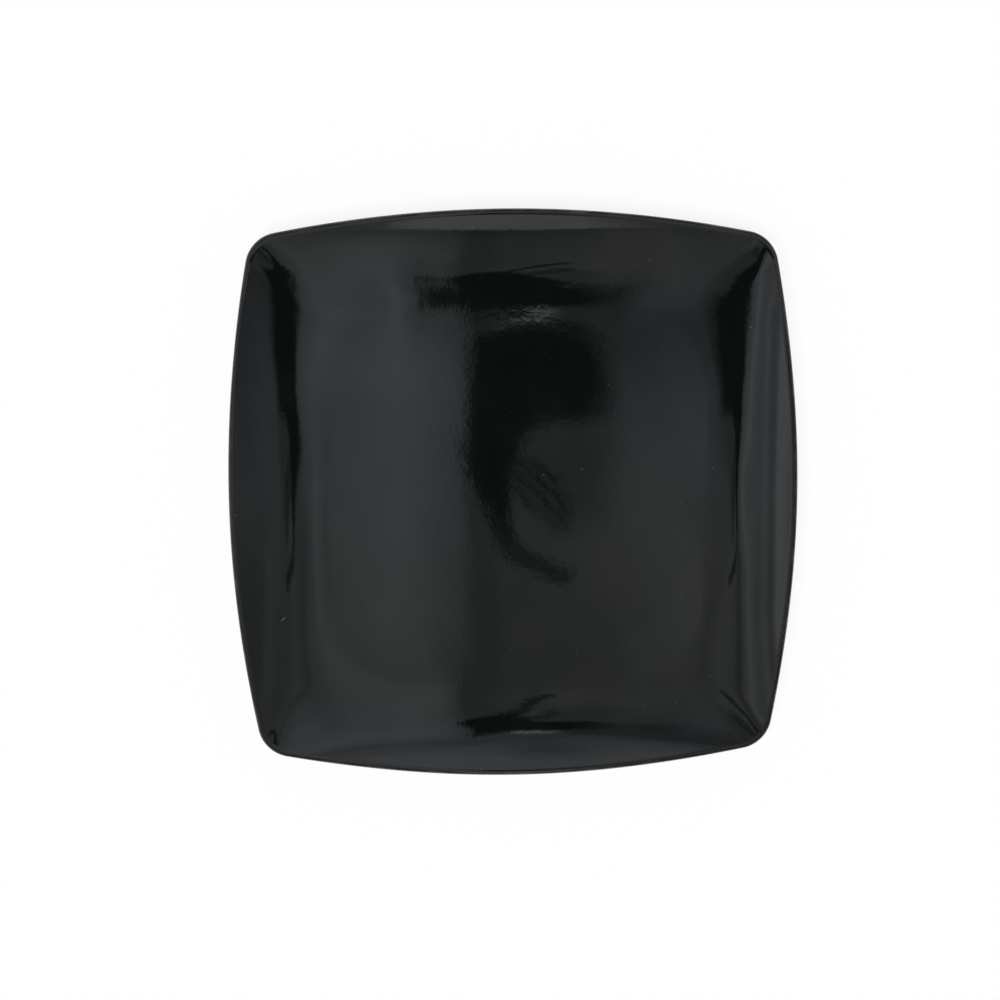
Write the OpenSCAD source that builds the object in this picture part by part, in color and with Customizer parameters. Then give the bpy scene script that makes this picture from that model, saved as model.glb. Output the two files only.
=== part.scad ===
// Square dinner plate with bowed sides: fired clay, a round foot ring and three coats of glaze.
// The origin is on the table, under the middle of the plate, and +Z is up.

/* [Outline] */
// Width of the glazed plate across the middles of two opposite sides
plate_w = 267; // [255:1:290]
// Radius of the shallow arc that each side follows, seen from above
side_bow_r = 586; // [450:2:900]
// Radius of each rounded corner, seen from above
corner_r = 16.6; // [12:0.2:26]

/* [Dish] */
// Width of the flat well
well_w = 181; // [166:1:196]
// Radius of the well's rounded corners, seen from above
well_corner_r = 50; // [20:1:80]
// Rise from the clay of the well to the top of the lip at the middle of a side
dish_depth = 10.4; // [7:0.2:18]
// How much lower the lip is at the corners than at the middles of the sides
corner_drop = 2.4; // [0:0.2:4]

/* [Wall] */
// Thickness of the clay under the well
floor_t = 5.4; // [4:0.2:7]
// Thickness of the clay at the lip, which is fully rounded
lip_t = 3.2; // [2.6:0.2:5]

/* [Foot] */
// Distance from the edge of the flat underside in to the foot ring
foot_inset = 4.5; // [2:0.5:30]
// Height of the foot ring
foot_h = 5; // [4.6:0.2:8]
// Width of the foot ring where it joins the underside
foot_root_w = 8; // [6:0.5:12]
// Width of the dry land that the plate stands on
foot_land_w = 3.4; // [2:0.2:4.4]
// Radius of the rounding beside the land
foot_edge_r = 0.8; // [0.4:0.1:1.2]

/* [Glaze] */
// Thickness of the glaze
glaze_t = 0.4; // [0.2:0.05:0.6]
// Thickness of the glaze where it breaks thin over the lip
glaze_lip_t = 0.2; // [0.1:0.05:0.4]
// Height above the table where the glaze on the foot ring stops
dry_h = 1.6; // [1.4:0.2:3]

/* [Hidden] */

// Segments along one side, round one corner, up the rim and over each half of the lip
side_n = 16;
corner_n = 6;
rim_n = 8;
half_lip_n = 3;

// Fineness of the round parts
$fn = 180;
// How far a cutting solid runs past the faces that it cuts
overrun = 1;

// Heights of the clay underside and of the clay in the well
underside_z = foot_h;
well_z = underside_z + floor_t;
lip_r = lip_t / 2;

// The clay outline has four side arcs, whose centres lie on the axes, and four corner arcs
// that touch them from inside, whose centres lie on the diagonals
clay_half_w = plate_w / 2 - glaze_lip_t;
bow_centre = clay_half_w - side_bow_r;
bow_gap = side_bow_r - corner_r;
corner_centre = (bow_centre + sqrt(2 * pow(bow_gap, 2) - pow(bow_centre, 2))) / 2;
tangent_a = atan2(corner_centre, corner_centre - bow_centre);

// The well outline is a square with rounded corners
well_half_w = well_w / 2;
well_straight = well_half_w - well_corner_r;

// The foot ring's radii at its root and at its land
foot_out_r = well_half_w - foot_inset;
foot_in_r = foot_out_r - foot_root_w;
foot_mid_r = (foot_out_r + foot_in_r) / 2;
foot_draft = (foot_root_w - foot_land_w) / 2 - foot_edge_r;

function turned(p, a) = [p.x * cos(a) - p.y * sin(a), p.x * sin(a) + p.y * cos(a)];

// Points of the lip's outline at the share s of one side's arc and of one corner's arc
function side_lip(s) =
    let (a = tangent_a * (2 * s - 1))
    [bow_centre + side_bow_r * cos(a), side_bow_r * sin(a)];
function corner_lip(s) =
    let (a = tangent_a + (90 - 2 * tangent_a) * s)
    [corner_centre + corner_r * cos(a), corner_centre + corner_r * sin(a)];

// Distance from the plate's axis to the well's outline along the unit direction dir
function well_reach(dir) =
    let (
        major = max(abs(dir.x), abs(dir.y)),
        minor = min(abs(dir.x), abs(dir.y)),
        along = well_straight * (major + minor)
    )
    well_half_w * minor <= well_straight * major
        ? well_half_w / major
        : along + sqrt(pow(along, 2) - 2 * pow(well_straight, 2) + pow(well_corner_r, 2));

// The lip falls by a smooth wave from the middle of each side to the corners
function lip_rise(p) = dish_depth - corner_drop * (1 - cos(4 * atan2(p.y, p.x))) / 2;

// A station is one upright section of the rim through the plate's axis and a point of the
// lip's outline. In it the face is one arc that leaves the well level and ends at the rounded
// lip: [start in plan, direction in plan, radius of the arc, angle of the arc]
function station(lip_p) =
    let (
        dir = lip_p / norm(lip_p),
        run = norm(lip_p) - well_reach(dir) - lip_r,
        end_a = 2 * atan2(lip_rise(lip_p), run)
    )
    [well_reach(dir) * dir, dir, run / sin(end_a) - lip_r, end_a];

stations = [
    for (turn = [0:3])
        each [
            for (i = [0:side_n - 1]) station(turned(side_lip(i / side_n), 90 * turn)),
            for (i = [0:corner_n - 1]) station(turned(corner_lip(i / corner_n), 90 * turn))
        ]
];

// A point of a station's section, out from the well's edge and up from the table
function in_section(st, out, up) =
    let (p = st[0] + out * st[1])
    [p.x, p.y, up];

// Points at the distance d off the clay: on the face and on the underside at the share s of
// the rim's arc, and on the lip at the angle a, where 0 faces outwards and 90 faces up
function face_point(st, s, d) =
    in_section(
        st,
        (st[2] - d) * sin(s * st[3]),
        well_z + st[2] - (st[2] - d) * cos(s * st[3])
    );
function under_point(st, s, d) =
    let (r = st[2] + floor_t + (lip_t - floor_t) * s + d)
    in_section(st, r * sin(s * st[3]), well_z + st[2] - r * cos(s * st[3]));
function lip_point(st, a, d) =
    in_section(
        st,
        (st[2] + lip_r) * sin(st[3]) + (lip_r + d) * cos(a),
        well_z + st[2] - (st[2] + lip_r) * cos(st[3]) + (lip_r + d) * sin(a)
    );

// The glaze thins from the rim's thickness to the lip's over half of the lip
function glaze_at(s) = glaze_t + (glaze_lip_t - glaze_t) * s;

// Rings of points from the well's edge up the face to the outermost line of the lip, and from
// there down the underside to the edge of its flat. The coat is 0 for the clay itself and 1
// for the outside of the glaze
function face_rings(coat) = [
    for (k = [0:rim_n])
        [for (st = stations) face_point(st, k / rim_n, coat * glaze_t)],
    for (k = [1:half_lip_n])
        let (s = k / half_lip_n)
        [for (st = stations) lip_point(st, (90 + st[3]) * (1 - s), coat * glaze_at(s))]
];
function underside_rings(coat) = [
    for (k = [0:half_lip_n - 1])
        let (s = k / half_lip_n)
        [for (st = stations) lip_point(st, (st[3] - 90) * s, coat * glaze_at(1 - s))],
    for (k = [0:rim_n])
        [for (st = stations) under_point(st, 1 - k / rim_n, coat * glaze_t)]
];

function back_to_front(list) = [for (i = [len(list) - 1:-1:0]) list[i]];
function without_first(list) = [for (i = [1:len(list) - 1]) list[i]];

// A closed solid through rings of points, from an upper flat end to a lower one. The bands
// that lie on the clay are split along the same diagonals as the clay's own, so the two meet
// face to face: mirrored holds the first of the bands split the other way, and the last
module ring_skin(rings, mirrored = [0, -1]) {
    n = len(rings[0]);
    last = len(rings) - 1;
    bands = [
        for (k = [0:last - 1])
            for (i = [0:n - 1])
                let (
                    j = (i + 1) % n,
                    a = k * n + i,
                    b = k * n + j,
                    c = (k + 1) * n + i,
                    d = (k + 1) * n + j,
                    other_way = k >= mirrored[0] && k <= mirrored[1]
                )
                each (other_way ? [[a, b, d], [a, d, c]] : [[a, b, c], [b, d, c]])
    ];
    // Each flat end is a fan about a point on the plate's axis
    upper_hub = n * (last + 1);
    lower_hub = upper_hub + 1;
    upper_end = [for (i = [0:n - 1]) [upper_hub, (i + 1) % n, i]];
    lower_end = [for (i = [0:n - 1]) [lower_hub, last * n + i, last * n + (i + 1) % n]];
    hubs = [[0, 0, rings[0][0].z], [0, 0, rings[last][0].z]];
    polyhedron(
        points = concat([for (ring = rings) each ring], hubs),
        faces = concat(bands, upper_end, lower_end)
    );
}

// How far the foot ring's flanks stand in from its root at the height z
function flank_inset(z) = foot_draft * (foot_h - z) / (foot_h - foot_edge_r);

// The solid inside the foot ring's outer flank, grown by the distance d, between two heights
module flank_solid(low_z, high_z, d) {
    translate([0, 0, low_z])
        cylinder(
            h = high_z - low_z,
            r1 = foot_out_r - flank_inset(low_z) + d,
            r2 = foot_out_r - flank_inset(high_z) + d
        );
}

// The fired clay: a flat floor that curves up into four rims with a rounded lip
module stoneware_body() {
    color("tan")
        ring_skin(concat(face_rings(0), without_first(underside_rings(0))));
}

// The foot ring: tapered flanks and a dry land with rounded edges
module foot_ring() {
    land_half = foot_land_w / 2;
    land_edge = land_half + foot_edge_r;
    color("tan")
        rotate_extrude() {
            polygon([
                [foot_in_r, foot_h],
                [foot_mid_r - land_edge, foot_edge_r],
                [foot_mid_r + land_edge, foot_edge_r],
                [foot_out_r, foot_h]
            ]);
            for (side = [-1, 1])
                translate([foot_mid_r + side * land_half, foot_edge_r])
                    circle(r = foot_edge_r);
            translate([foot_mid_r - land_half, 0])
                square([foot_land_w, foot_edge_r]);
        }
}

// The coat on the face, from the well up to the outermost line of the lip
module face_glaze() {
    outside = face_rings(1);
    on_clay = back_to_front(face_rings(0));
    color([0.05, 0.05, 0.06])
        ring_skin(concat(outside, on_clay), [len(outside), 2 * len(outside) - 2]);
}

// The coat under the rim, from the lip in to the foot ring and down its outer flank
module underside_glaze() {
    on_clay = back_to_front(underside_rings(0));
    outside = underside_rings(1);
    color([0.07, 0.07, 0.07])
        difference() {
            union() {
                ring_skin(concat(on_clay, outside), [0, len(on_clay) - 1]);
                flank_solid(dry_h, foot_h, glaze_t);
            }
            flank_solid(dry_h - overrun, foot_h + overrun, 0);
        }
}

// The coat inside the foot ring: a disc on the underside and a cuff down the inner flank
module foot_well_glaze() {
    cuff_r = foot_in_r + flank_inset(dry_h);
    color([0.07, 0.07, 0.07])
        rotate_extrude()
            polygon([
                [0, foot_h],
                [foot_in_r, foot_h],
                [cuff_r, dry_h],
                [cuff_r - glaze_t, dry_h],
                [foot_in_r - glaze_t, foot_h - glaze_t],
                [0, foot_h - glaze_t]
            ]);
}

stoneware_body();
foot_ring();
face_glaze();
underside_glaze();
foot_well_glaze();
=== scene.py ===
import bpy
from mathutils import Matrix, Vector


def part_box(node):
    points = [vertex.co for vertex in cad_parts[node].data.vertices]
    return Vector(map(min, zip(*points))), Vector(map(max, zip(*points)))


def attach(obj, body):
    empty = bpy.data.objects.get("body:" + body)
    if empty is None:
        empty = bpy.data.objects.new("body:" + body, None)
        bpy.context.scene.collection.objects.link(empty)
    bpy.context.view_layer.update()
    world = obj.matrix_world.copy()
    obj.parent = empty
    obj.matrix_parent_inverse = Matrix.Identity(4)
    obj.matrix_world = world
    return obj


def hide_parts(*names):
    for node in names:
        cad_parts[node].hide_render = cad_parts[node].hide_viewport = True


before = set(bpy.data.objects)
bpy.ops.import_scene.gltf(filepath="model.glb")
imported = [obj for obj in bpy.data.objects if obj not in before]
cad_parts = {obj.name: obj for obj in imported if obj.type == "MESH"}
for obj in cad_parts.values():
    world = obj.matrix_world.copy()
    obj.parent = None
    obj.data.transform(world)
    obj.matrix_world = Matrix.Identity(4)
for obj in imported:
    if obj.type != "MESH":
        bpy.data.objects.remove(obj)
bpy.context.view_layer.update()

from types import SimpleNamespace

import bpy
import numpy as np
from bpy.props import FloatProperty, FloatVectorProperty, IntProperty, PointerProperty

bl_info = {
    "name": "Square dinner plate",
    "version": (1, 0, 0),
    "blender": (4, 5, 0),
    "location": "View3D > Sidebar > Plate",
    "description": "Clay, foot ring and three glaze coats of a square plate, with a studio",
    "category": "Object",
}

FACE_LOW, FACE_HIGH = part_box("face_glaze")
FOOT_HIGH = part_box("foot_ring")[1]
FOOT_GLAZE_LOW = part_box("foot_well_glaze")[0]
MM = 0.001

# Pools and hollows of the face's glaze: place, widths and height in mm, seen from above
SWELLS = (
    (-101, -105, 14, 14, 0.7), (-56.3, 92.3, 13.2, 14.7, 0.67), (12.3, 83.8, 19.6, 16, 0.23),
    (15.1, 103.8, 36.9, 6, -0.53), (20.7, 102.6, 21.4, 6, 0.44), (-41.2, 93.4, 13.3, 6, 0.29),
    (54.2, 88.2, 10.6, 6, 0.15), (-95.4, 75, 8.1, 19.9, 0.04), (-92.6, 24, 8, 27.7, -0.27),
    (-94.2, -15.8, 5.4, 24.7, -0.25), (-93.3, -49.5, 6.8, 19.1, -0.15),
    (-108.1, 2.5, 8.4, 51.1, -0.26), (94.3, 15, 6.3, 27.8, 0.05), (96.1, -28.8, 7.2, 30.5, 0.24),
    (91.9, -53.8, 7.1, 18.9, -0.11), (105.8, -0.7, 5, 31.4, -0.25), (-30, -98, 20.1, 7.1, 0.46),
    (11.4, -104.5, 15.7, 14, 0.3), (35.8, -94.6, 13.6, 9.2, -0.18),
    (6.1, -108.5, 23.2, 5.2, -0.19), (18.8, -121.8, 32.7, 7.1, 0.45),
    (50, -100.2, 13.4, 8.6, 0.12), (54.6, -113.9, 20.8, 10.9, -0.09),
    (-104.9, 103.6, 6.5, 12.6, 0.27), (-106.8, 93.6, 5, 11.1, -0.13),
    (-103.2, 108.6, 13.9, 9.4, -0.49), (105.6, 99.5, 12.1, 11.1, 0.24),
    (101.6, 85.7, 7, 14.3, -0.14), (117, 84.5, 5.6, 11.3, -0.2), (115.8, 112.1, 5, 8.7, -0.23),
    (99.2, 64.7, 10.2, 17.3, 0.08),
)
# The face's slow sway: the seed of its draw, the number of waves, and their lengths
SWAY_SEED = 11
SWAY_WAVES = 7
SWAY_LENGTHS = (16 * MM, 60 * MM)
# Powers by which the relief fades up the rim, the glaze thickens over the lip, the back rim's
# early start fades to the sides, and the well's rings crowd outwards
RELIEF_POWER = 4
LIP_POWER = 4
EARLY_POWER = 8
WELL_POWER = 0.8

# How thin the glaze counts at the top of the rim, where the outermost line of the lip counts
# as 1, and along a bead of glaze to its dry end
RIM_THIN = 0.25
BEAD_THIN = (0.3, 0.8)
# Rings over which it starts to count as thin, on the face and under the rim
FACE_THIN_RINGS = 8
UNDER_THIN_RINGS = 4
# Numbers of rings of the small parts
BEAD_RINGS = 7
POOL_RINGS = 9
UNDER_FLAT_RINGS = 7
FOOT_WELL_RINGS = 24
FLANK_RINGS = 6
EDGE_RINGS = 9

WHITE = (1, 1, 1, 1)
# The range that soft noise mostly keeps to
USUAL = (0.3, 0.7)
# The scratch on the left rim: its middle, its turn, half its length and half its width
SCRATCH_AT = (-110.6 * MM, -57.2 * MM, 0)
SCRATCH_TURN = (0, 0, np.radians(38))
SCRATCH_HALF_L = 2.3 * MM
SCRATCH_HALF_W = 0.26 * MM
PINHOLE_DEPTH = 0.05 * MM
GRAIN_DEPTH = 0.05 * MM
SANDING_DEPTH = 0.04 * MM


def length(name, about, value):
    """A length in metres with a plain name and a sentence about it."""
    return FloatProperty(name=name, description=about, default=value, unit="LENGTH", precision=5)


def amount(name, about, value, **limits):
    """A plain number."""
    return FloatProperty(name=name, description=about, default=value, **limits)


def turn(name, about, value):
    """A turn about the three axes."""
    return FloatVectorProperty(
        name=name, description=about, default=value, subtype="EULER", size=3, precision=5
    )


def colour(name, about, value):
    """A colour in linear light."""
    return FloatVectorProperty(
        name=name, description=about, default=value, subtype="COLOR", size=3, min=0, max=1
    )


class DishShape(bpy.types.PropertyGroup):
    """Outline, well, rim and wall of the plate."""

    plate_w: length(
        "Width", "Glazed width across the middles of two opposite sides", FACE_HIGH.x - FACE_LOW.x
    )
    side_bow_r: length("Side bow", "Radius of the shallow arc of each side, from above", 586 * MM)
    corner_r: length("Corner", "Radius of each rounded corner, from above", 16.6 * MM)
    well_w: length("Well width", "Width of the flat well", 181 * MM)
    well_corner_r: length("Well corner", "Radius of the well's rounded corners", 50 * MM)
    depth: length("Depth", "Rise from the well to the lip's top at a side's middle", 10.4 * MM)
    corner_drop: length("Corner drop", "How much lower the lip is at the corners", 2.4 * MM)
    floor_t: length("Floor", "Thickness of the clay under the well", 5.4 * MM)
    lip_t: length("Lip", "Thickness of the clay at the fully rounded lip", 3.2 * MM)


class FootShape(bpy.types.PropertyGroup):
    """The round foot ring under the plate."""

    out_r: length("Outer radius", "Radius of the ring's root, outside", FOOT_HIGH.x)
    height: length("Height", "Height of the ring", FOOT_HIGH.z)
    root_w: length("Root width", "Width of the ring where it joins the underside", 8 * MM)
    land_w: length("Land width", "Width of the dry land that the plate stands on", 3.4 * MM)
    edge_r: length("Edge", "Radius of the rounding beside the land", 0.8 * MM)


class GlazeCoats(bpy.types.PropertyGroup):
    """Thickness and ends of the glaze, and how uneven it is."""

    thick: length("Thickness", "Thickness of the glaze", 0.4 * MM)
    lip_thick: length("Lip thickness", "Thickness where it breaks over the lip", 0.2 * MM)
    dry_h: length("Dry height", "Height above the table where it stops", FOOT_GLAZE_LOW.z)
    pool_r: length("Pool", "Size of the pool in the corner beside the foot ring", 1.4 * MM)
    ghost: length("Foot ghost", "Height of the foot ring's ghost in the well", 0.05 * MM)
    ghost_w: length("Ghost width", "Width of the foot ring's ghost", 6 * MM)
    sway: length("Sway", "Height of the slow unevenness of the face", 0.012 * MM)
    peel: length("Peel", "Height of the fine orange peel of the gloss", 0.008 * MM)
    early: length("Early", "How much nearer the middle the back rim starts", 3.5 * MM)
    early_x: length("Early place", "Where along the back it starts farthest out", -16.7 * MM)
    early_bend: amount("Early bend", "Bend of the line where it starts, per metre", 0.21)
    early_soft: length("Early softness", "How gradually the back rim starts", 3.9 * MM)
    early_w: length("Early width", "Half of the length over which it does so", 80 * MM)


class Finish(bpy.types.PropertyGroup):
    """Colours and gloss."""

    glaze: colour("Glaze", "Black glaze at full thickness", (0.0027, 0.0035, 0.0033))
    lip: colour("Lip", "Olive brown of the glaze where it breaks thin", (0.052, 0.052, 0.028))
    pinhole: colour("Pinhole", "Pinholes in the glaze", (0.08, 0.084, 0.08))
    scratch: colour("Scratch", "Scratch in the glaze", (0.17, 0.175, 0.17))
    clay: colour("Clay", "Fired buff stoneware", (0.52, 0.42, 0.31))
    land: colour("Land", "Sanded clay of the foot ring's land", (0.55, 0.45, 0.34))
    dark_grog: colour("Dark grog", "Dark grains in the clay", (0.16, 0.09, 0.05))
    pale_grog: colour("Pale grog", "Pale grains in the clay", (0.72, 0.66, 0.56))
    gloss: amount("Roughness", "Roughness of the glaze", 0.045, min=0, max=1)
    sanding: amount("Sanding", "How much the rings on the land show", 0.6, min=0)


class Studio(bpy.types.PropertyGroup):
    """Floor, light, the panels that the gloss mirrors, and the camera."""

    floor: colour("Floor", "Pale floor", (0.93, 0.93, 0.93))
    key: amount("Key", "Strength of the soft overhead light", 2.75, min=0)
    key_spread: amount("Key spread", "How wide that light is", np.radians(50), subtype="ANGLE")
    key_turn: turn("Key turn", "Turn of that light", (np.radians(8), np.radians(-10), 0))
    ambient: amount("Ambient", "Strength of the light from all round", 0.22, min=0)
    floor_glow: amount("Floor glow", "Share of the floor that glows", 0.78, min=0, max=1)
    panel_h: length("Panel height", "Height of the panels over the table", 0.618)
    camera_at: FloatVectorProperty(
        name="Camera", description="Place of the camera", size=3, subtype="TRANSLATION",
        unit="LENGTH", precision=5, default=(-0.03021, 0.06386, 0.61503),
    )
    camera_turn: turn("Turn", "Turn of the camera", (-0.107683, -0.039271, -0.007356))
    camera_lens: amount("Lens", "Focal length in millimetres for a 36 mm sensor", 46.04)


class Fineness(bpy.types.PropertyGroup):
    """How finely the surfaces are drawn."""

    side: IntProperty(name="Side", description="Stations along one side", default=72, min=8)
    corner: IntProperty(name="Corner", description="Stations round one corner", default=20, min=4)
    well: IntProperty(name="Well", description="Rings over the well", default=56, min=4)
    rim: IntProperty(name="Rim", description="Rings up the rim", default=44, min=4)
    lip: IntProperty(name="Lip", description="Rings over each half of the lip", default=12, min=3)


def lip_line(dish, coat, fine):
    """Plan points of the clay's lip, counter-clockwise.

    A side is the arc (c + R cos a, R sin a), with R the bow's radius, c its centre on the axis and
    a from -t to t. A corner is the arc (m + r cos a, m + r sin a), with r the corner's radius, m
    on the diagonal and a from t to 90 degrees less t. They touch from inside at the angle t. One
    side and one corner make a quarter, which is turned four times.
    """
    bow_centre = dish.plate_w / 2 - coat.lip_thick - dish.side_bow_r
    gap = dish.side_bow_r - dish.corner_r
    middle = (bow_centre + np.sqrt(2 * gap**2 - bow_centre**2)) / 2
    touch = np.arctan2(middle, middle - bow_centre)
    side = touch * np.linspace(-1, 1, fine.side, endpoint=False)
    corner = touch + (np.pi / 2 - 2 * touch) * np.linspace(0, 1, fine.corner, endpoint=False)
    side_x = bow_centre + dish.side_bow_r * np.cos(side)
    side_y = dish.side_bow_r * np.sin(side)
    corner_x = middle + dish.corner_r * np.cos(corner)
    corner_y = middle + dish.corner_r * np.sin(corner)
    x = np.concatenate([side_x, corner_x])
    y = np.concatenate([side_y, corner_y])
    return np.stack([np.concatenate([x, -y, -x, y]), np.concatenate([y, x, -y, -x])], 1)


def well_reach(dish, way):
    """Distance from the axis to the well's outline along unit directions.

    The outline is a square with rounded corners. Towards a straight side the distance is the half
    width over the larger part of the direction. Towards a corner arc it is the far root of the
    circle's equation along the ray.
    """
    major = np.abs(way).max(1)
    minor = np.abs(way).min(1)
    half = dish.well_w / 2
    straight = half - dish.well_corner_r
    along = straight * (major + minor)
    arc = along + np.sqrt(np.maximum(along**2 - 2 * straight**2 + dish.well_corner_r**2, 0))
    return np.where(half * minor <= straight * major, half / major, arc)


def rim_sections(dish, foot, coat, fine):
    """Upright sections of the rim through the axis, one at each point of the lip's line.

    In a section the face is one arc. It leaves the well level, rises by the depth less a smooth
    wave that is largest at the corners, and ends at the lip. Its angle is twice the arc tangent
    of rise over run, and its radius the run over that angle's sine, less the lip's radius.
    """
    lip = lip_line(dish, coat, fine)
    reach = np.hypot(lip[:, 0], lip[:, 1])
    way = lip / reach[:, None]
    start = well_reach(dish, way)
    lip_r = dish.lip_t / 2
    run = reach - start - lip_r
    wave = (1 - np.cos(4 * np.arctan2(lip[:, 1], lip[:, 0]))) / 2
    bend_a = 2 * np.arctan2(dish.depth - dish.corner_drop * wave, run)
    return SimpleNamespace(
        way=way, start=start, bend_a=bend_a, bend_r=run / np.sin(bend_a) - lip_r, lip_r=lip_r,
        floor_t=dish.floor_t, lip_t=dish.lip_t, well_z=foot.height + dish.floor_t,
    )


def place(rim, out, up):
    """Rings of points: the distance out from the axis along each section, and the height up."""
    out, up, _ = np.broadcast_arrays(out, up, rim.start)
    return np.stack([out * rim.way[:, 0], out * rim.way[:, 1], up], 2)


def arc_rings(rim, angle, radius):
    """Rings about the centres of the rim's arcs, at angles from straight down."""
    out = rim.start + radius * np.sin(angle)
    return place(rim, out, rim.well_z + rim.bend_r - radius * np.cos(angle))


def face_rings(rim, share, off):
    """Rings up the rim's face: the point at the share of the arc, off the clay by a distance."""
    return arc_rings(rim, share[:, None] * rim.bend_a, rim.bend_r - off)


def under_rings(rim, share, off):
    """Rings under the rim: the face's arc, grown by a wall that thins evenly to the lip."""
    share = share[:, None]
    wall = rim.floor_t + (rim.lip_t - rim.floor_t) * share
    return arc_rings(rim, share * rim.bend_a, rim.bend_r + wall + off)


def lip_rings(rim, angle, off):
    """Rings round the lip: a circle on the end of the arc, at an angle from straight outwards."""
    centre_r = rim.bend_r + rim.lip_r
    radius = rim.lip_r + off
    return place(
        rim,
        rim.start + centre_r * np.sin(rim.bend_a) + radius * np.cos(angle),
        rim.well_z + rim.bend_r - centre_r * np.cos(rim.bend_a) + radius * np.sin(angle),
    )


def lip_top(rim, share):
    """Angles from the end of the face's arc, at share 0, to straight outwards, at share 1."""
    return (np.pi / 2 + rim.bend_a) * (1 - share[:, None])


def lip_bottom(rim, share):
    """Angles from straight outwards, at share 0, to the end of the under arc, at share 1."""
    return (rim.bend_a - np.pi / 2) * share[:, None]


def lip_coat(coat, share):
    """Thickness of the glaze over the lip: it grows with a power of the share."""
    return (coat.lip_thick + (coat.thick - coat.lip_thick) * share**LIP_POWER)[:, None]


def profile_rings(rim, profile):
    """Rings turned about the axis: one circle for each radius and height of the profile."""
    return place(rim, profile[:, :1], profile[:, 1:])


def curve_between(start, corner, end, steps):
    """Radii and heights of a parabola that leaves start towards corner and ends at end."""
    t = np.linspace(0, 1, steps)[:, None]
    weights = np.concatenate([(1 - t) ** 2, 2 * t * (1 - t), t**2], 1)
    return weights @ np.array([start, corner, end])


def arc_rise(out, run, rise):
    """Height of an arc that leaves level at out 0 and ends at the rise over the run.

    Its angle is twice the arc tangent of rise over run, and its radius the run over that
    angle's sine. The height is the radius less the root of its square less that of out.
    """
    bend_a = 2 * np.arctan2(rise, run)
    radius = run / np.sin(bend_a)
    return radius - np.sqrt(radius**2 - np.clip(out, 0, run) ** 2)


def early_rim(x, y, dish, coat):
    """How far the face is lifted where the back rim starts early.

    The rim's arc starts there on a bent line nearer the middle, softened by the logarithm of
    one plus an exponential, and ends at the same lip. The plain arc is taken away. The rest
    fades to the sides by the exponential of minus a power of the place over the width.
    """
    plain = dish.well_w / 2
    lip_y = (dish.plate_w - dish.lip_t) / 2 - x**2 / (2 * dish.side_bow_r)
    back = plain - coat.early - coat.early_bend * (x - coat.early_x) ** 2
    out = coat.early_soft * np.logaddexp(0, (y - back) / coat.early_soft)
    early = arc_rise(out, lip_y - back, dish.depth)
    early = early - arc_rise(y - plain, lip_y - plain, dish.depth)
    return early * np.exp(-((x / coat.early_w) ** EARLY_POWER))


def face_relief(rings, dish, foot, coat):
    """How far the glazed face stands over its plain form, from the plan place of each point.

    The foot ring's ghost is a smooth step that falls inwards at the ring's outer radius. The
    slow sway is the sum of cosine waves that cross in all directions, over the root of their
    number. Each pool or hollow is the exponential of minus the squared distances from its
    middle over its squared widths.
    """
    x, y = rings[..., 0], rings[..., 1]
    ghost = coat.ghost * (np.tanh((np.hypot(x, y) - foot.out_r) / coat.ghost_w * 2) - 1) / 2
    draw = np.random.default_rng(SWAY_SEED)
    heading = draw.uniform(0, np.pi, SWAY_WAVES)
    pitch = 2 * np.pi / draw.uniform(*SWAY_LENGTHS, SWAY_WAVES)
    phase = draw.uniform(0, 2 * np.pi, SWAY_WAVES)
    along = x[..., None] * np.cos(heading) + y[..., None] * np.sin(heading)
    sway = coat.sway * np.cos(along * pitch + phase).sum(-1) / np.sqrt(SWAY_WAVES)
    swells = sum(
        height * MM * np.exp(-(((x / MM - at_x) / wide) ** 2) - ((y / MM - at_y) / deep) ** 2)
        for at_x, at_y, wide, deep, height in SWELLS
    )
    return ghost + sway + swells + early_rim(x, y, dish, coat)


def flank_r(foot, height, off, way=1):
    """Radius of a flank of the foot ring at a height, off the clay by a distance.

    way is 1 for the outer flank and -1 for the inner one. Both lean evenly towards the middle
    of the ring, from the root down to the rounding beside the land.
    """
    draft = (foot.root_w - foot.land_w) / 2 - foot.edge_r
    lean = draft * (foot.height - height) / (foot.height - foot.edge_r)
    half = foot.root_w / 2
    return foot.out_r - half + way * (half + off - lean)


def flank_profile(foot, coat, way):
    """Profile of the glaze on a flank: a pool in the flat's corner, and a bead at the dry end."""
    thick, dry_z = coat.thick, coat.dry_h
    flat_z = foot.height - thick
    pool_z = flat_z - coat.pool_r
    bead_z = dry_z + thick
    corner = flank_r(foot, flat_z, thick, way)
    pool = curve_between(
        (corner + way * coat.pool_r, flat_z),
        (corner, flat_z),
        (flank_r(foot, pool_z, thick, way), pool_z),
        POOL_RINGS,
    )
    bead = curve_between(
        (flank_r(foot, bead_z, thick, way), bead_z),
        (flank_r(foot, dry_z, thick, way), dry_z),
        (flank_r(foot, dry_z, 0, way), dry_z),
        BEAD_RINGS,
    )
    return np.concatenate([pool, bead])


def put(name, data):
    """A new object in the scene."""
    made = bpy.data.objects.new(name, data)
    bpy.context.scene.collection.objects.link(made)
    return made


def set_values(mesh, name, kind, domain, values):
    """Keep one value for each point or edge of a mesh under a name."""
    mesh.attributes.new(name, kind, domain).data.foreach_set("value", values)


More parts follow.
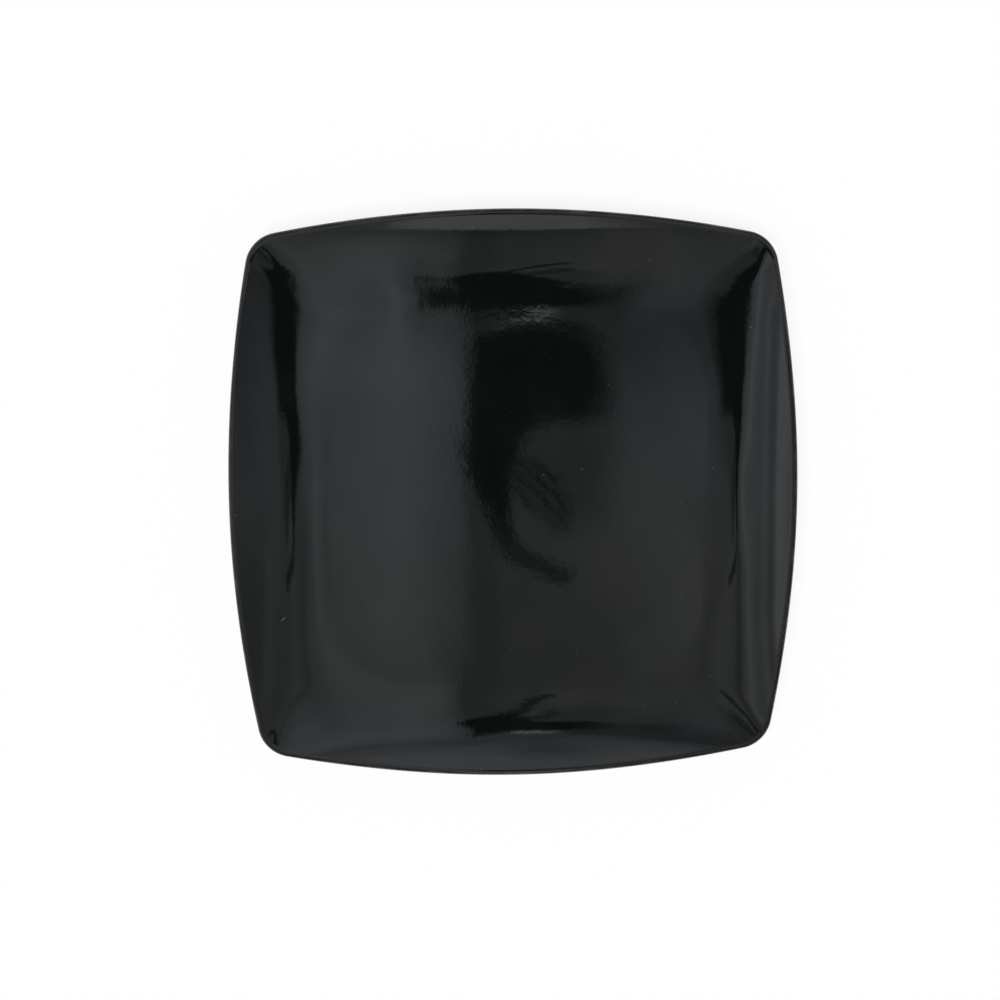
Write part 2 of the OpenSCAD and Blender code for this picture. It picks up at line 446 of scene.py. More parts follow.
def skin(name, rings, poles=None, creases=(), thin=None):
    """One closed mesh through rings of points, with its faces outwards.

    Point i of a ring is joined to point i + 1 and to the same points of the next ring by one
    four-sided face. Without poles the last ring is joined to the first. With poles the two open
    ends are closed by fans about a point on the axis at the first and last pole's height. Edges
    along the rings named in creases stay sharp. thin is how thin the glaze is, ring by ring.
    """
    count, across = rings.shape[:2]
    here = np.arange(across)
    after = (here + 1) % across
    bands = count if poles is None else count - 1
    first = (np.arange(bands) * across)[:, None]
    second = ((np.arange(bands) + 1) % count * across)[:, None]
    quads = np.stack([first + here, second + here, second + after, first + after], 2)
    faces = quads.reshape(-1, 4).tolist()
    points = rings.reshape(-1, 3)
    thins = np.repeat(np.zeros(count) if thin is None else thin, across)
    if poles is not None:
        pole = np.full(across, count * across)
        last = (count - 1) * across
        faces += np.stack([pole, here, after], 1).tolist()
        faces += np.stack([pole + 1, last + after, last + here], 1).tolist()
        points = np.concatenate([points, [[0, 0, poles[0]], [0, 0, poles[1]]]])
        thins = np.concatenate([thins, [0, 0]])
    mesh = bpy.data.meshes.new(name)
    mesh.from_pydata(points.tolist(), [], faces)
    mesh.polygons.foreach_set("use_smooth", np.ones(len(faces), bool))
    set_values(mesh, "thin", "FLOAT", "POINT", thins.astype(np.float32))
    ends = np.zeros(len(mesh.edges) * 2, np.int32)
    mesh.edges.foreach_get("vertices", ends)
    on_ring = ends.reshape(-1, 2) // across
    sharp = (on_ring[:, 0] == on_ring[:, 1]) & np.isin(on_ring[:, 0], np.asarray(creases, int))
    set_values(mesh, "sharp_edge", "BOOLEAN", "EDGE", sharp)
    mesh.update()
    return put(name, mesh)


def stand_for(piece, node, material):
    """The piece rides on the plate, stands for one node of the frame and takes its slot."""
    piece.data.materials.append(material)
    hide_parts(node)
    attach(piece, "root")


def wire(tree, node, sockets):
    """Give each socket of a shader node its value, or another node's output."""
    for key, value in dict(sockets).items():
        if isinstance(value, bpy.types.NodeSocket):
            tree.links.new(value, node.inputs[key])
        else:
            node.inputs[key].default_value = value


def add(tree, kind, sockets=(), **settings):
    """A shader node with its settings and the values of its sockets."""
    made = tree.nodes.new("ShaderNode" + kind)
    for key, value in settings.items():
        setattr(made, key, value)
    wire(tree, made, sockets)
    return made


def plain_material(name):
    """A new material, its node tree, its main shader and its Object coordinates."""
    material = bpy.data.materials.new(name)
    material.use_nodes = True
    tree = material.node_tree
    shader = next(n for n in tree.nodes if n.type == "BSDF_PRINCIPLED")
    return material, tree, shader, add(tree, "TexCoord").outputs["Object"]


def spread(tree, value, low, high, to_low, to_high):
    """value carried from one range to another by a smooth step, and held at the ends."""
    return add(
        tree, "MapRange",
        {"Value": value, "From Min": low, "From Max": high, "To Min": to_low, "To Max": to_high},
        interpolation_type="SMOOTHSTEP",
    ).outputs["Result"]


def begins(tree, value, low, high):
    """0 up to one place and 1 from a second place on, with a smooth step between."""
    return spread(tree, value, low, high, 0, 1)


def ends(tree, value, low, high):
    """1 up to one place and 0 from a second place on, with a smooth step between."""
    return spread(tree, value, low, high, 1, 0)


def reckon(tree, operation, a, b=0, clamp=False):
    """The result of one step of arithmetic."""
    return add(tree, "Math", {0: a, 1: b}, operation=operation, use_clamp=clamp).outputs[0]


def times(tree, product, *others):
    """The product of two or more values."""
    for other in others:
        product = reckon(tree, "MULTIPLY", product, other)
    return product


def blend_colour(tree, share, a, b):
    """The colour a at share 0, and b at share 1."""
    return add(tree, "Mix", {0: share, 6: a, 7: b}, data_type="RGBA").outputs[2]


def noise(tree, place_on, scale, detail, drawn=None):
    """Soft noise with so many blotches to the metre. drawn picks another draw of it."""
    made = add(tree, "TexNoise", {"Vector": place_on, "Scale": scale, "Detail": detail})
    if drawn is not None:
        made.noise_dimensions = "4D"
        made.inputs["W"].default_value = drawn
    return made.outputs["Fac"]


def bump(tree, height, depth, strength=1, over=None, into=False):
    """A surface raised by a height from 0 to 1, over another such surface, or sunk into it."""
    sockets = {"Height": height, "Strength": strength, "Distance": depth}
    if over is not None:
        sockets["Normal"] = over
    return add(tree, "Bump", sockets, invert=into).outputs["Normal"]


def scratched(tree, place_on, body, finish):
    """One short pale scratch across the left rim, thin at both ends."""
    sockets = {"Vector": place_on, "Location": SCRATCH_AT, "Rotation": SCRATCH_TURN}
    turned = add(tree, "Mapping", sockets, vector_type="TEXTURE")
    local = add(tree, "SeparateXYZ", {0: turned.outputs[0]}).outputs
    along = reckon(tree, "ABSOLUTE", local["X"])
    aside = reckon(tree, "ABSOLUTE", local["Y"])
    width = spread(tree, along, 0, SCRATCH_HALF_L, SCRATCH_HALF_W, 0)
    inside = reckon(tree, "SUBTRACT", width, aside)
    share = spread(tree, inside, 0, 0.1 * MM, 0, 0.6)
    return blend_colour(tree, share, body, (*finish.scratch, 1))


def pinholes(tree, place_on):
    """Where the pinholes are, and how plainly each of them shows.

    A pattern of cells over the plan has one dot in each. The three parts of a cell's colour
    say whether the dot is there, how plain it is and how big it is.
    """
    sockets = {"Vector": place_on, "Scale": 62}
    cells = add(tree, "TexVoronoi", sockets, voronoi_dimensions="2D").outputs
    pick = add(tree, "SeparateColor", {"Color": cells["Color"]}).outputs
    size = spread(tree, pick["Blue"], 0, 1, 0.01, 0.024)
    dot = begins(tree, reckon(tree, "SUBTRACT", size, cells["Distance"]), 0, 0.01)
    there = begins(tree, pick["Red"], 0.72, 0.73)
    plainness = spread(tree, pick["Green"], 0.2, 1, 0.3, 1)
    return times(tree, dot, there), plainness


def glaze_material(name, finish, coat, scratch=False):
    """Black gloss glaze. It breaks olive brown where it is thin, has orange peel and pinholes."""
    material, tree, shader, place_on = plain_material(name)
    thin = add(tree, "Attribute", attribute_name="thin").outputs["Fac"]
    patch = noise(tree, place_on, scale=90, detail=3)
    wander = spread(tree, patch, *USUAL, -0.18, 0.18)
    worn = begins(tree, reckon(tree, "ADD", thin, wander), 0.42, 1)
    cloud = noise(tree, place_on, scale=28, detail=3)
    olive = spread(tree, cloud, 0.5, 0.72, 0, 0.03)
    dark = blend_colour(tree, olive, (*finish.glaze, 1), (*finish.lip, 1))
    body = blend_colour(tree, worn, dark, (*finish.lip, 1))
    pinhole, plainness = pinholes(tree, place_on)
    body = blend_colour(tree, times(tree, pinhole, plainness), body, (*finish.pinhole, 1))
    if scratch:
        body = scratched(tree, place_on, body, finish)
    haze = noise(tree, place_on, scale=22, detail=4)
    rough = spread(tree, haze, *USUAL, 0.75 * finish.gloss, 1.35 * finish.gloss)
    fine = bump(tree, noise(tree, place_on, scale=620, detail=2), coat.peel)
    broad = bump(tree, noise(tree, place_on, scale=210, detail=1), 1.6 * coat.peel, over=fine)
    pitted = bump(tree, pinhole, PINHOLE_DEPTH, over=broad, into=True)
    sockets = {"Base Color": body, "Roughness": rough, "IOR": 1.5, "Normal": pitted}
    wire(tree, shader, sockets)
    return material


def clay_material(name, finish, tone, sanding):
    """Dry fired clay with dark and pale grog. sanding is how much rings about the axis show."""
    material, tree, shader, place_on = plain_material(name)
    cloud = noise(tree, place_on, scale=45, detail=5)
    deep = tuple(0.74 * part for part in tone)
    body = blend_colour(tree, begins(tree, cloud, 0.25, 0.75), (*deep, 1), (*tone, 1))
    cells = add(tree, "TexVoronoi", {"Vector": place_on, "Scale": 620}).outputs
    pick = add(tree, "SeparateColor", {"Color": cells["Color"]}).outputs
    dot = ends(tree, cells["Distance"], 0.12, 0.3)
    dark = times(tree, dot, begins(tree, pick["Red"], 0.86, 0.88))
    pale = times(tree, dot, begins(tree, pick["Green"], 0.9, 0.92))
    body = blend_colour(tree, dark, body, (*finish.dark_grog, 1))
    body = blend_colour(tree, pale, body, (*finish.pale_grog, 1))
    grain = noise(tree, place_on, scale=1500, detail=3)
    rough = spread(tree, grain, *USUAL, 0.78, 0.95)
    sockets = {"Vector": place_on, "Scale": 380, "Distortion": 1.5, "Detail": 2}
    rings = add(tree, "TexWave", sockets, wave_type="RINGS", rings_direction="Z")
    grit = bump(tree, grain, GRAIN_DEPTH, strength=0.8)
    sanded = bump(tree, rings.outputs["Fac"], SANDING_DEPTH, strength=sanding, over=grit)
    sockets = {"Base Color": body, "Roughness": rough, "Specular IOR Level": 0.3, "Normal": sanded}
    wire(tree, shader, sockets)
    return material


def values_of(context):
    """The groups of values that the pieces share, and the rim's sections."""
    scene = context.scene
    foot, coat, fine = scene.plate_foot, scene.plate_coat, scene.plate_fineness
    rim = rim_sections(scene.plate_dish, foot, coat, fine)
    return foot, coat, scene.plate_finish, fine, rim


class PLATE_OT_clay_body(bpy.types.Operator):
    """Make the fired clay body, from the well over the lip to the underside."""

    bl_idname = "plate.clay_body"
    bl_label = "Clay body"

    def execute(self, context):
        foot, _, finish, fine, rim = values_of(context)
        up = np.linspace(0, 1, fine.rim // 2)
        over = np.linspace(0, 1, fine.lip + 1)[1:]
        rings = np.concatenate([
            face_rings(rim, up, 0),
            lip_rings(rim, lip_top(rim, over), 0),
            lip_rings(rim, lip_bottom(rim, over), 0),
            under_rings(rim, up[::-1][1:], 0),
        ])
        piece = skin("clay_body", rings, (rim.well_z, foot.height))
        material = clay_material("fired_clay", finish, finish.clay, 0)
        stand_for(piece, "stoneware_body", material)
        return {"FINISHED"}


class PLATE_OT_clay_foot(bpy.types.Operator):
    """Make the foot ring, with tapered flanks and a sanded land between rounded edges."""

    bl_idname = "plate.clay_foot"
    bl_label = "Clay foot ring"

    def execute(self, context):
        foot, _, finish, _, rim = values_of(context)
        middle = foot.out_r - foot.root_w / 2
        flank = np.linspace(0, 1, FLANK_RINGS)[:-1]
        flank_z = foot.height - (foot.height - foot.edge_r) * flank
        turn = np.linspace(0, np.pi / 2, EDGE_RINGS)
        edge = middle + foot.land_w / 2 + foot.edge_r * np.cos(turn)
        outer = np.concatenate([flank_r(foot, flank_z, 0), edge])
        heights = np.concatenate([flank_z, foot.edge_r - foot.edge_r * np.sin(turn)])
        radii = np.concatenate([outer, 2 * middle - outer[::-1]])
        profile = np.stack([radii, np.concatenate([heights, heights[::-1]])], 1)
        creases = (0, len(profile) - 1)
        piece = skin("clay_foot_ring", profile_rings(rim, profile), creases=creases)
        material = clay_material("dry_foot_clay", finish, finish.land, finish.sanding)
        stand_for(piece, "foot_ring", material)
        return {"FINISHED"}


class PLATE_OT_face_coat(bpy.types.Operator):
    """Make the glaze on the face, with its pools, the foot ring's ghost and a slow sway."""

    bl_idname = "plate.face_coat"
    bl_label = "Face glaze"

    def execute(self, context):
        foot, coat, finish, fine, rim = values_of(context)
        dish = context.scene.plate_dish
        top_z = rim.well_z + coat.thick
        inward = np.linspace(0, 1, fine.well + 1)[1:-1] ** WELL_POWER
        up = np.linspace(0, 1, fine.rim)
        over = np.linspace(0, 1, fine.lip + 1)[1:]
        thinning = lip_coat(coat, 1 - over)
        well = place(rim, inward[:, None] * rim.start, top_z)
        face = face_rings(rim, up, coat.thick)
        lip = lip_rings(rim, lip_top(rim, over), thinning)
        flat = np.concatenate([well, face])
        fade = np.concatenate([np.ones(len(well)), 1 - up**RELIEF_POWER])
        flat[..., 2] += face_relief(flat, dish, foot, coat) * fade[:, None]
        on_up = np.linspace(0, 1, fine.rim // 2)
        on_clay = np.concatenate([
            lip_rings(rim, lip_top(rim, over[::-1]), 0),
            face_rings(rim, on_up[::-1], 0),
        ])
        outside = len(flat) + len(lip)
        rings = np.concatenate([flat, lip, on_clay])
        thin = np.zeros(len(rings))
        start = len(flat) - FACE_THIN_RINGS
        thin[start:len(flat)] = RIM_THIN * np.linspace(0, 1, FACE_THIN_RINGS)
        thin[len(flat):outside] = RIM_THIN + (1 - RIM_THIN) * over
        middle = face_relief(np.zeros((1, 1, 3)), dish, foot, coat)[0, 0]
        poles = (top_z + middle, rim.well_z)
        piece = skin("face_coat", rings, poles, (outside - 1, outside), thin)
        material = glaze_material("face_glaze", finish, coat, scratch=True)
        stand_for(piece, "face_glaze", material)
        return {"FINISHED"}


class PLATE_OT_underside_coat(bpy.types.Operator):
    """Make the glaze under the rim, pooled beside the foot ring and ending in a bead on it."""

    bl_idname = "plate.underside_coat"
    bl_label = "Underside glaze"

    def execute(self, context):
        foot, coat, finish, fine, rim = values_of(context)
        over = np.linspace(0, 1, fine.lip + 1)
        down = np.linspace(1, 0, fine.rim // 2)
        thick = lip_coat(coat, over)
        flank = flank_profile(foot, coat, 1)
        pool_r, flat_z = flank[0]
        inward = np.linspace(0, 1, UNDER_FLAT_RINGS)[1:-1, None]
        outside = np.concatenate([
            lip_rings(rim, lip_bottom(rim, over), thick),
            under_rings(rim, down[1:], coat.thick),
            place(rim, rim.start + (pool_r - rim.start) * inward, flat_z),
            profile_rings(rim, flank),
        ])
        on_clay = np.concatenate([
            place(rim, np.array([[foot.out_r]]), foot.height),
            under_rings(rim, down[::-1], 0),
            lip_rings(rim, lip_bottom(rim, over[::-1][1:]), 0),
        ])
        rings = np.concatenate([outside, on_clay])
        thin = np.zeros(len(rings))
        thin[:len(over)] = 1 - (1 - RIM_THIN) * over
        end = len(over) + UNDER_THIN_RINGS
        thin[len(over):end] = RIM_THIN * np.linspace(1, 0, UNDER_THIN_RINGS + 1)[1:]
        thin[len(outside) - BEAD_RINGS:len(outside)] = np.linspace(*BEAD_THIN, BEAD_RINGS)
        creases = (0, len(outside) - 1, len(outside), len(rings) - 1)
        piece = skin("underside_coat", rings, creases=creases, thin=thin)
        material = glaze_material("underside_glaze", finish, coat)
        stand_for(piece, "underside_glaze", material)
        return {"FINISHED"}


class PLATE_OT_foot_well_coat(bpy.types.Operator):
    """Make the glaze inside the foot ring, pooled in its corner and ending in a bead on it."""

    bl_idname = "plate.foot_well_coat"
    bl_label = "Foot well glaze"

    def execute(self, context):
        foot, coat, finish, _, rim = values_of(context)
        in_r = foot.out_r - foot.root_w
        on_clay = np.array([(in_r / 2, foot.height), (in_r, foot.height)])
        flank = flank_profile(foot, coat, -1)[::-1]
        pool_r, flat_z = flank[-1]
        inward = np.linspace(1, 0, FOOT_WELL_RINGS)[1:-1, None]
        rings = np.concatenate([
            profile_rings(rim, np.concatenate([on_clay, flank])),
            place(rim, pool_r * inward, flat_z),
        ])
        bead = slice(len(on_clay), len(on_clay) + BEAD_RINGS)
        thin = np.zeros(len(rings))
        thin[bead] = np.linspace(*BEAD_THIN[::-1], BEAD_RINGS)
        creases = (len(on_clay) - 1, len(on_clay))
        piece = skin("foot_well_coat", rings, (foot.height, flat_z), creases, thin)
        material = glaze_material("foot_well_glaze", finish, coat)
        stand_for(piece, "foot_well_glaze", material)
        return {"FINISHED"}


# What the gloss mirrors is laid out in metres from the plate's axis, to the right (x) and to
# the back (y). Each curve holds (place, level) stops. SKY is the broad ceiling
SKY_X = (
    (-0.56, 0.24), (-0.38, 0.34), (-0.31, 0.66), (-0.28, 0.72), (-0.25, 0.68), (-0.207, 0.62),
    (-0.17, 0.68), (-0.12, 0.74), (-0.085, 0.84), (0, 0.88), (0.6, 0.88),
)
SKY_Y = (
    (-0.7, 0.38), (-0.31, 0.43), (-0.25, 0.64), (-0.17, 0.82), (-0.06, 0.88), (0, 0.96),
    (0.05, 1.05), (0.09, 0.88), (0.12, 0.6), (0.16, 0.76), (0.22, 1), (0.3, 1.05),
    (0.36, 0.8), (0.42, 0.38),
)
# The dim card over the right half, and how its levels along y change far to the right
CARD_X = (
    (-0.03, 0.44), (-0.012, 0.27), (0.006, 0.29), (0.026, 0.42), (0.1, 0.41), (0.165, 0.47),
    (0.21, 0.51), (0.26, 0.48), (0.34, 0.44), (0.6, 0.44),
)
CARD_Y = (
    (-0.34, 0.62), (-0.3, 0.66), (-0.265, 0.8), (-0.24, 0.87), (-0.17, 0.94), (-0.12, 1.02),
    (-0.03, 1), (0.02, 0.9), (0.05, 0.72), (0.08, 0.55), (0.12, 0.5),
)
CARD_FAR_Y = (
    (-0.4, 0.62), (-0.3, 0.74), (-0.2, 0.8), (-0.15, 0.86), (-0.12, 0.96), (-0.03, 1),
    (0.02, 0.97), (0.05, 1), (0.08, 1.16), (0.12, 1.3),
)
# Between which places the card's left, front and back edges fade. Its back edge stands farther
# back on the right of the step
CARD_LEFT = (-0.03, -0.006)
CARD_FRONT = (-0.337, -0.333)
CARD_BACK = (-0.003, 0.004)
CARD_STEP = (0.088, 0.1)
CARD_BACK_Y = (0.1, 0.116)
CARD_FAR = (0.2, 0.28)
# The ceiling dims to the right of its middle, but not behind the back edge
SKY_DIM = (-0.085, -0.015)
SKY_DIM_LEVEL = 0.66
SKY_DIM_BACK = (0.11, 0.16)
# A bright window in front of the card
WINDOW_LEFT = (-0.085, -0.06)
WINDOW_RIGHT = (0.11, 0.18)
WINDOW_BACK = (-0.345, -0.333)
WINDOW_COLOUR = (1.05, 1.05, 1.05, 1)
# Soft panels under the ceiling: the drop in mm, the level, and for each corner the place where
# the panel is full and the place where it has faded out, in mm
PANELS = {
    "bright_strip": (0.1, 1.6, (
        (22, 95, 6, 92), (58, 95, 88, 92), (52, 104, 84, 109), (26, 104, 8, 109),
    )),
    "dim_patch": (0.1, 0.33, (
        (44, 4, 36, 40), (84, 14, 104, 50), (104, -20, 138, -6), (98, -66, 124, -100),
        (66, -84, 62, -124), (46, -44, 22, -70),
    )),
    "dark_flag": (0.2, 0.02, (
        (-8, 84, -14, 91), (20, 87, 14, 93), (62, 87, 68, 93), (92, 80, 106, 90),
        (102, 60, 132, 66), (100, 30, 141, 28), (93, 15, 132, 5), (62, 11, 66, 1),
        (44, 4, 49, -7), (34, -10, 42, -15), (29, -26, 40, -28), (23, -44, 35, -44),
        (22, -60, 31, -60), (22, -80, 29, -80), (23, -96, 28, -94), (26, -108, 32, -102),
        (19, -106, 15, -108), (14, -92, 9, -94), (8, -76, 1, -78), (-1, -58, -8, -60),
        (-11, -34, -20, -36), (-14, -12, -26, -14), (-11, 12, -21, 12), (-8, 40, -15, 40),
    )),
    "low_strip": (0.4, 0.09, (
        (22, -98, 28, -94), (34, -116, 40, -110), (60, -128, 64, -122), (84, -140, 92, -138),
        (80, -146, 84, -154), (56, -138, 54, -146), (30, -126, 26, -132), (16, -104, 10, -106),
    )),
    "ragged_strip": (0.6, 0.05, (
        (20, -34, 14, -24), (46, -30, 48, -22), (72, -48, 80, -44), (84, -76, 92, -74),
        (82, -98, 86, -106), (72, -96, 66, -102), (58, -74, 50, -82), (40, -68, 32, -76),
        (24, -50, 18, -54),
    )),
}
FRINGED = {"ragged_strip"}
PANEL_COLOUR = (0.9, 1, 0.95, 1)
# Tints of the ceiling: warmer in front and cooler at the back
WARM = (0.975, 1.01, 1, 1)
COOL = (0.955, 0.985, 1.09, 1)
# Levels that the right and left rims mirror, against the run to the right over the rise
STREAKS = (
    (-0.8, 0.62), (-0.64, 0.56), (-0.585, 0.1), (-0.545, 0), (-0.5, 0.1), (-0.47, 0.24),
    (-0.43, 0.08), (-0.38, 0), (-0.33, 0.02), (-0.29, 0.28), (-0.25, 0.08), (-0.2, 0.02),
    (-0.12, 0.12), (-0.03, 0.14), (0.03, 0.04), (0.06, 0), (0.12, 0.04), (0.18, 0.16),
    (0.23, 0.12), (0.3, 0), (1, 0),
)
# Half widths of the floor and the ceiling, how far the floor lies under the foot, and the
# nearest distance that the camera sees
FLOOR_HALF = 4
CEILING_HALF = 1
FLOOR_DROP = 0.02 * MM
NEAREST = 0.01


def ramp(tree, value, stops):
    """A smooth curve through (place, level) stops; places are spread over 0 to 1."""
    low, high = stops[0][0], stops[-1][0]
    share = add(tree, "MapRange", {"Value": value, "From Min": low, "From Max": high})
    made = add(tree, "ValToRGB", {"Fac": share.outputs["Result"]})
    made.color_ramp.interpolation = "EASE"
    marks = made.color_ramp.elements
    while len(marks) < len(stops):
        marks.new(0.5)
    for mark, (at, level) in zip(marks, stops):
        mark.position = (at - low) / (high - low)
        mark.color = (level, level, level, 1)
    return made.outputs["Color"]


def glossy_only(name, mesh):
    """A panel that only mirrored light meets."""
    panel = put(name, mesh)
    panel.visible_camera = panel.visible_diffuse = panel.visible_shadow = False
    panel.visible_transmission = panel.visible_volume_scatter = False


def bare_tree(mesh, name):
    """The empty node tree of a new material on a mesh."""
    material = bpy.data.materials.new(name)
    material.use_nodes = True
    material.node_tree.nodes.clear()
    mesh.materials.append(material)
    return material.node_tree


def level_square(name, half, z):
    """A level square face about the axis, as a mesh."""
    mesh = bpy.data.meshes.new(name)
    corners = [(-half, -half, z), (half, -half, z), (half, half, z), (-half, half, z)]
    mesh.from_pydata(corners, [], [(0, 1, 2, 3)])
    return mesh


def soft_panel(name, marks, height, level, fringe):
    """A level panel with a soft edge. Each mark is a corner of the full part and of its fade.

    The full part is the polygon of the first corners. A band of four-sided faces round it fades
    out to the second ones. A fringe cuts the panel into slanting strips.
    """
    full = [(x * MM, y * MM, height) for x, y, _, _ in marks]
    faded = [(x * MM, y * MM, height) for _, _, x, y in marks]
    count = len(marks)
    band = [(i, (i + 1) % count, (i + 1) % count + count, i + count) for i in range(count)]
    mesh = bpy.data.meshes.new(name)
    mesh.from_pydata(full + faded, [], [tuple(range(count)), *band])
    cover = np.repeat([1, 0], count).astype(np.float32)
    set_values(mesh, "cover", "FLOAT", "POINT", cover)
    tree = bare_tree(mesh, name)
    shown = add(tree, "Attribute", attribute_name="cover").outputs["Fac"]
    if fringe:
        where = add(tree, "TexCoord").outputs["Object"]
        sockets = {
            "Vector": where, "Scale": 42, "Distortion": 3, "Detail": 2, "Detail Scale": 1.2,
        }
        strips = add(tree, "TexWave", sockets, bands_direction="DIAGONAL").outputs["Fac"]
        shown = times(tree, shown, begins(tree, strips, 0.35, 0.65))
    clear = add(tree, "BsdfTransparent").outputs[0]
    glow = add(tree, "Emission", {"Color": PANEL_COLOUR, "Strength": level}).outputs[0]
    either = add(tree, "MixShader", {0: shown, 1: clear, 2: glow})
    add(tree, "OutputMaterial", {"Surface": either.outputs[0]})
    glossy_only(name, mesh)


def sky_level(tree, x, y):
    """Level of the broad ceiling."""
    dim = spread(tree, x, *SKY_DIM, 1, SKY_DIM_LEVEL)
    dim = blend_colour(tree, begins(tree, y, *SKY_DIM_BACK), dim, WHITE)
    return times(tree, ramp(tree, x, SKY_X), dim, ramp(tree, y, SKY_Y))


def card_level(tree, x, y):
    """Level of the dim card, and where the card is."""
    far = begins(tree, x, *CARD_FAR)
    far_y = blend_colour(tree, far, WHITE, ramp(tree, y, CARD_FAR_Y))
    level = times(tree, ramp(tree, x, CARD_X), ramp(tree, y, CARD_Y), far_y)
    behind = reckon(tree, "SUBTRACT", y, spread(tree, x, *CARD_STEP, *CARD_BACK_Y))
    back = ends(tree, behind, *CARD_BACK)
    where = times(tree, begins(tree, x, *CARD_LEFT), back, begins(tree, y, *CARD_FRONT))
    return level, where


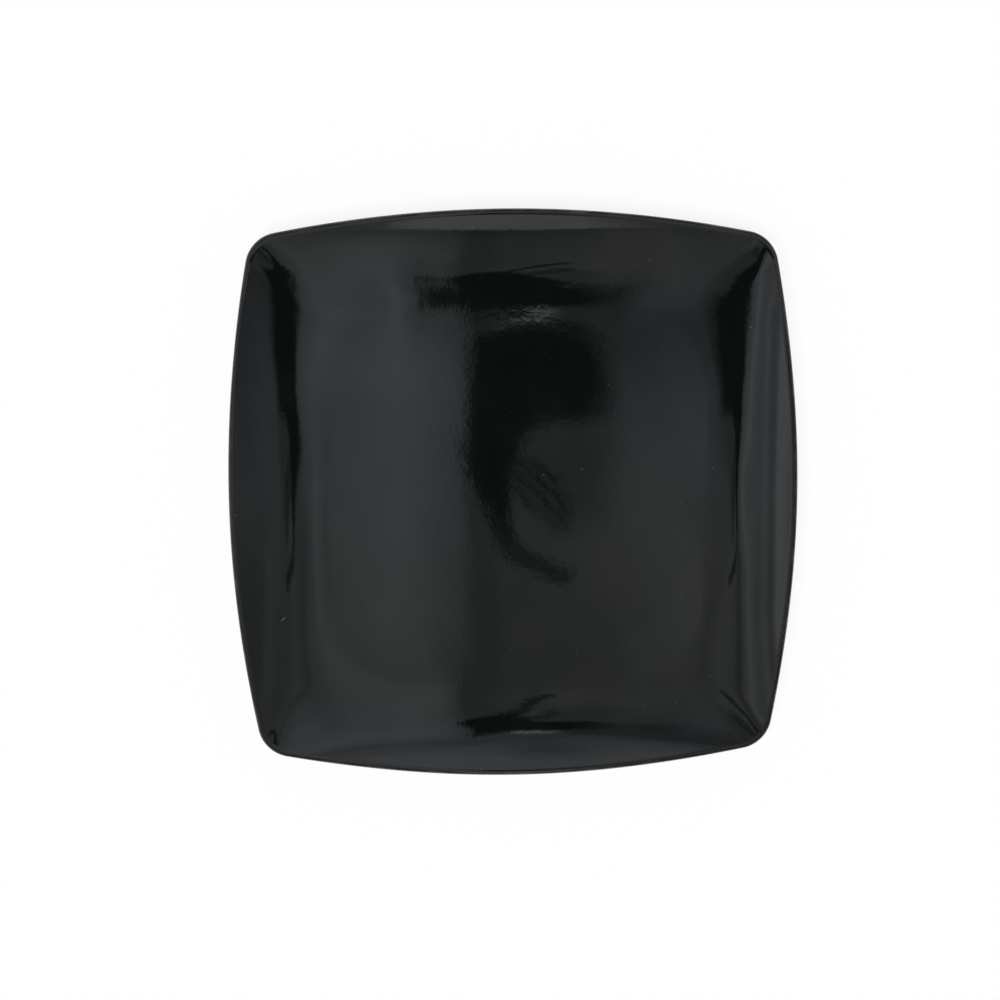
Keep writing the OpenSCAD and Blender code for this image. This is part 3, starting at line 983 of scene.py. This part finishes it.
class PLATE_OT_stage(bpy.types.Operator):
    """Make the pale floor, the soft light, the panels that the gloss mirrors, and the camera."""

    bl_idname = "plate.stage"
    bl_label = "Stage"

    def execute(self, context):
        studio = context.scene.plate_studio
        self.floor(studio)
        self.panels(studio)
        self.surroundings(context, studio)
        self.key_light(studio)
        self.camera(context, studio)
        context.scene.view_settings.view_transform = "Standard"
        return {"FINISHED"}

    def floor(self, studio):
        """A large level floor. The camera sees some of its own glow.

        It is clear from below, and stays clear for light that has once come through it.
        """
        mesh = level_square("floor", FLOOR_HALF, -FLOOR_DROP)
        tree = bare_tree(mesh, "pale_floor")
        matt = add(tree, "BsdfDiffuse", {"Color": (*studio.floor, 1)}).outputs[0]
        glow = add(tree, "Emission", {"Color": WHITE, "Strength": 1}).outputs[0]
        clear = add(tree, "BsdfTransparent").outputs[0]
        path = add(tree, "LightPath").outputs
        seen = times(tree, path["Is Camera Ray"], studio.floor_glow)
        pale = add(tree, "MixShader", {0: seen, 1: matt, 2: glow}).outputs[0]
        back = add(tree, "NewGeometry").outputs["Backfacing"]
        below = reckon(tree, "ADD", back, path["Transparent Depth"], clamp=True)
        either = add(tree, "MixShader", {0: below, 1: pale, 2: clear})
        add(tree, "OutputMaterial", {"Surface": either.outputs[0]})
        floor = put("floor", mesh)

    def panels(self, studio):
        """The ceiling that the gloss mirrors, with a dim card to the right and soft panels."""
        mesh = level_square("ceiling", CEILING_HALF, studio.panel_h)
        tree = bare_tree(mesh, "ceiling")
        where = add(tree, "TexCoord").outputs["Object"]
        spot = add(tree, "SeparateXYZ", {0: where}).outputs
        x, y = spot["X"], spot["Y"]
        window = times(
            tree, begins(tree, x, *WINDOW_LEFT), ends(tree, x, *WINDOW_RIGHT),
            ends(tree, y, *WINDOW_BACK),
        )
        sky = blend_colour(tree, window, sky_level(tree, x, y), WINDOW_COLOUR)
        dim, card = card_level(tree, x, y)
        clouds = noise(tree, where, scale=9, detail=4)
        level = times(
            tree, blend_colour(tree, card, sky, dim), spread(tree, clouds, *USUAL, 0.92, 1.08)
        )
        drift = noise(tree, where, scale=6, detail=3, drawn=3)
        hue = spread(tree, drift, 0.32, 0.68, -0.25, 0.25)
        cool = reckon(tree, "ADD", begins(tree, y, -0.2, 0), hue, clamp=True)
        tint = blend_colour(tree, cool, WARM, COOL)
        glow = add(tree, "Emission", {"Color": tint, "Strength": level}).outputs[0]
        clear = add(tree, "BsdfTransparent").outputs[0]
        both = add(tree, "AddShader", {0: glow, 1: clear})
        add(tree, "OutputMaterial", {"Surface": both.outputs[0]})
        glossy_only("ceiling", mesh)
        for name, (drop, level, marks) in PANELS.items():
            soft_panel(name, marks, studio.panel_h - drop * MM, level, name in FRINGED)

    def surroundings(self, context, studio):
        """White for the camera, soft light for matt faces, and streaks and glow for the gloss."""
        world = bpy.data.worlds.new("studio")
        world.use_nodes = True
        context.scene.world = world
        tree = world.node_tree
        tree.nodes.clear()
        heading = add(tree, "SeparateXYZ", {0: add(tree, "TexCoord").outputs["Generated"]}).outputs
        x, y, z = heading["X"], heading["Y"], heading["Z"]
        lean = reckon(tree, "DIVIDE", x, reckon(tree, "MAXIMUM", z, 0.1))
        low = spread(tree, x, -1, 1, 0.4, 0.3)
        low = blend_colour(tree, ends(tree, z, 0.1, 0.42), low, WHITE)
        under = spread(tree, y, -0.7, 0.6, 1.2, 0.3)
        low = blend_colour(tree, ends(tree, z, -0.4, -0.1), low, under)
        mirrored = blend_colour(tree, begins(tree, z, 0.42, 0.5), low, ramp(tree, lean, STREAKS))
        path = add(tree, "LightPath").outputs
        seen = reckon(tree, "ADD", path["Is Camera Ray"], path["Is Transmission Ray"], clamp=True)
        ambient = spread(tree, z, -0.05, 0, 1, studio.ambient)
        soft = blend_colour(tree, path["Is Glossy Ray"], ambient, mirrored)
        total = blend_colour(tree, seen, soft, WHITE)
        glow = add(tree, "Background", {"Color": total, "Strength": 1})
        add(tree, "OutputWorld", {"Surface": glow.outputs[0]})

    def key_light(self, studio):
        """A broad soft lamp overhead, which the gloss doesn't mirror."""
        lamp = bpy.data.lights.new("overhead_key", "SUN")
        lamp.energy = studio.key
        lamp.angle = studio.key_spread
        key = put("overhead_key", lamp)
        key.rotation_euler = studio.key_turn
        key.visible_glossy = False

    def camera(self, context, studio):
        """The camera over the plate, a little to the left and to the back of its axis."""
        data = bpy.data.cameras.new("camera")
        data.lens = studio.camera_lens
        data.clip_start = NEAREST
        camera = put("camera", data)
        camera.location = studio.camera_at
        camera.rotation_euler = studio.camera_turn
        context.scene.camera = camera


class PLATE_PT_sidebar(bpy.types.Panel):
    """Lists the pieces, the stage and their values."""

    bl_idname = "PLATE_PT_sidebar"
    bl_label = "Square dinner plate"
    bl_space_type = "VIEW_3D"
    bl_region_type = "UI"
    bl_category = "Plate"

    def draw(self, context):
        for operator in OPERATORS:
            self.layout.operator(operator.bl_idname)
        for key, group in GROUPS.items():
            box = self.layout.box()
            box.label(text=group.__name__)
            for name in group.__annotations__:
                box.prop(getattr(context.scene, key), name)


GROUPS = {
    "plate_dish": DishShape,
    "plate_foot": FootShape,
    "plate_coat": GlazeCoats,
    "plate_finish": Finish,
    "plate_studio": Studio,
    "plate_fineness": Fineness,
}
OPERATORS = (
    PLATE_OT_clay_body,
    PLATE_OT_clay_foot,
    PLATE_OT_face_coat,
    PLATE_OT_underside_coat,
    PLATE_OT_foot_well_coat,
    PLATE_OT_stage,
)


def register():
    for made in (*GROUPS.values(), *OPERATORS, PLATE_PT_sidebar):
        bpy.utils.register_class(made)
    for key, group in GROUPS.items():
        setattr(bpy.types.Scene, key, PointerProperty(type=group))


def unregister():
    for key in GROUPS:
        delattr(bpy.types.Scene, key)
    for made in (PLATE_PT_sidebar, *reversed(OPERATORS), *reversed(GROUPS.values())):
        bpy.utils.unregister_class(made)


def main():
    register()
    bpy.ops.plate.clay_body()
    bpy.ops.plate.clay_foot()
    bpy.ops.plate.face_coat()
    bpy.ops.plate.underside_coat()
    bpy.ops.plate.foot_well_coat()
    bpy.ops.plate.stage()


if __name__ == "__main__":
    main()
